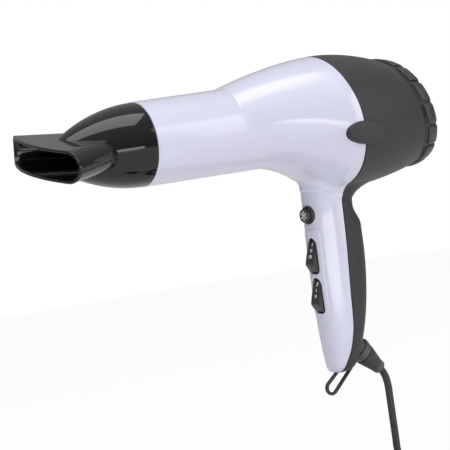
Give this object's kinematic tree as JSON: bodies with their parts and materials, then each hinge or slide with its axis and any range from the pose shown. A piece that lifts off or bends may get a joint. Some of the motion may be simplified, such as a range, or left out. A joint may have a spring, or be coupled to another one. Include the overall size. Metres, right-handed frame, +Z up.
{
  "type": "hair dryer",
  "caption": "Hand-held hair dryer with a flat concentrator nozzle, rocker switches, cool shot button, removable rear filter cap, hang loop and a stored mains lead.",
  "frame": {"origin": "middle of the hand grip, where a hand or a holder takes the handle", "axes": "+X forward along the barrel to the nozzle, +Y to the dryer's left, +Z up along the handle to the barrel"},
  "size_m": [0.2887, 0.1335, 0.3035],
  "materials": {
    "shell_pearl": null,
    "shell_dark": null,
    "nozzle_black": null,
    "control_grey": null,
    "inner_black": null,
    "duct_plastic": null,
    "mica": null,
    "steel": null,
    "heating_wire": null,
    "fuse_glass": null,
    "magnet": null,
    "winding": null,
    "board": null,
    "wire_red": null,
    "wire_blue": null,
    "cord_rubber": null,
    "relief_rubber": null,
    "plug_plastic": null,
    "pin_brass": null
  },
  "bodies": {
    "root": {"front_cover": "shell_pearl", "rear_cover": "shell_dark", "mouth_ring": "shell_pearl", "oval_cap_left": "shell_dark", "oval_cap_right": "shell_dark", "cover_screws": "steel", "outlet_grille": "inner_black", "mica_tube": "mica", "heater_cross": "mica", "heater_wire": "heating_wire", "thermostat": "steel", "thermal_fuse": "fuse_glass", "fan_duct": "duct_plastic", "motor_can": "steel", "motor_end": "inner_black", "motor_magnets": "magnet", "motor_bushes": "winding", "rectifier_board": "board", "inlet_ring": "inner_black", "switch_panel": "shell_pearl", "heat_switch": "inner_black", "speed_switch": "inner_black", "cool_shot_bezel": "shell_dark", "cool_shot_spring": "steel", "cool_shot_switch": "inner_black", "switch_wires": "wire_red", "motor_wires": "wire_blue", "inner_lead": "cord_rubber", "cord_clamp": "inner_black", "clamp_screws": "steel", "strain_relief": "relief_rubber", "hang_loop": "cord_rubber", "cord": "cord_rubber", "cord_coil": "cord_rubber", "cord_tie": "cord_rubber", "cord_tail": "cord_rubber", "plug_body": "plug_plastic", "plug_pins": "pin_brass"},
    "nozzle": {"nozzle": "nozzle_black", "nozzle_clip": "steel"},
    "heat_rocker": {"heat_rocker": "control_grey"},
    "speed_rocker": {"speed_rocker": "control_grey"},
    "cool_button": {"cool_shot_button": "control_grey"},
    "rear_cap": {"rear_cap": "shell_dark", "filter_frame": "shell_dark", "filter_mesh": "steel"},
    "fan": {"fan": "inner_black", "motor_shaft": "steel", "motor_rotor": "winding"}
  },
  "joints": [
    {"name": "nozzle_turn", "type": "hinge", "parent": "root", "child": "nozzle", "pos_m": [0.133, 0, 0.105], "axis": [1, 0, 0], "continuous": true},
    {"name": "heat_select", "type": "hinge", "parent": "root", "child": "heat_rocker", "pos_m": [0.01479, 0, 0.01523], "axis": [0, 1, 0], "range_deg": [0, 24]},
    {"name": "speed_select", "type": "hinge", "parent": "root", "child": "speed_rocker", "pos_m": [0.0152, 0, -0.01101], "axis": [0, 1, 0], "range_deg": [0, 24]},
    {"name": "cool_shot_press", "type": "slide", "parent": "root", "child": "cool_button", "axis": [-1, 0, 0], "range_m": [0, 0.0024], "stiffness_N_per_m": 400, "springref_m": -0.001, "deforming": ["cool_shot_spring"]},
    {"name": "rear_cap_pull", "type": "slide", "parent": "root", "child": "rear_cap", "axis": [-0.9715, 0, 0.2368], "range_m": [0, 0.02]},
    {"name": "fan_spin", "type": "hinge", "parent": "root", "child": "fan", "pos_m": [-0.02, 0, 0.105], "axis": [1, 0, 0], "continuous": true}
  ]
}
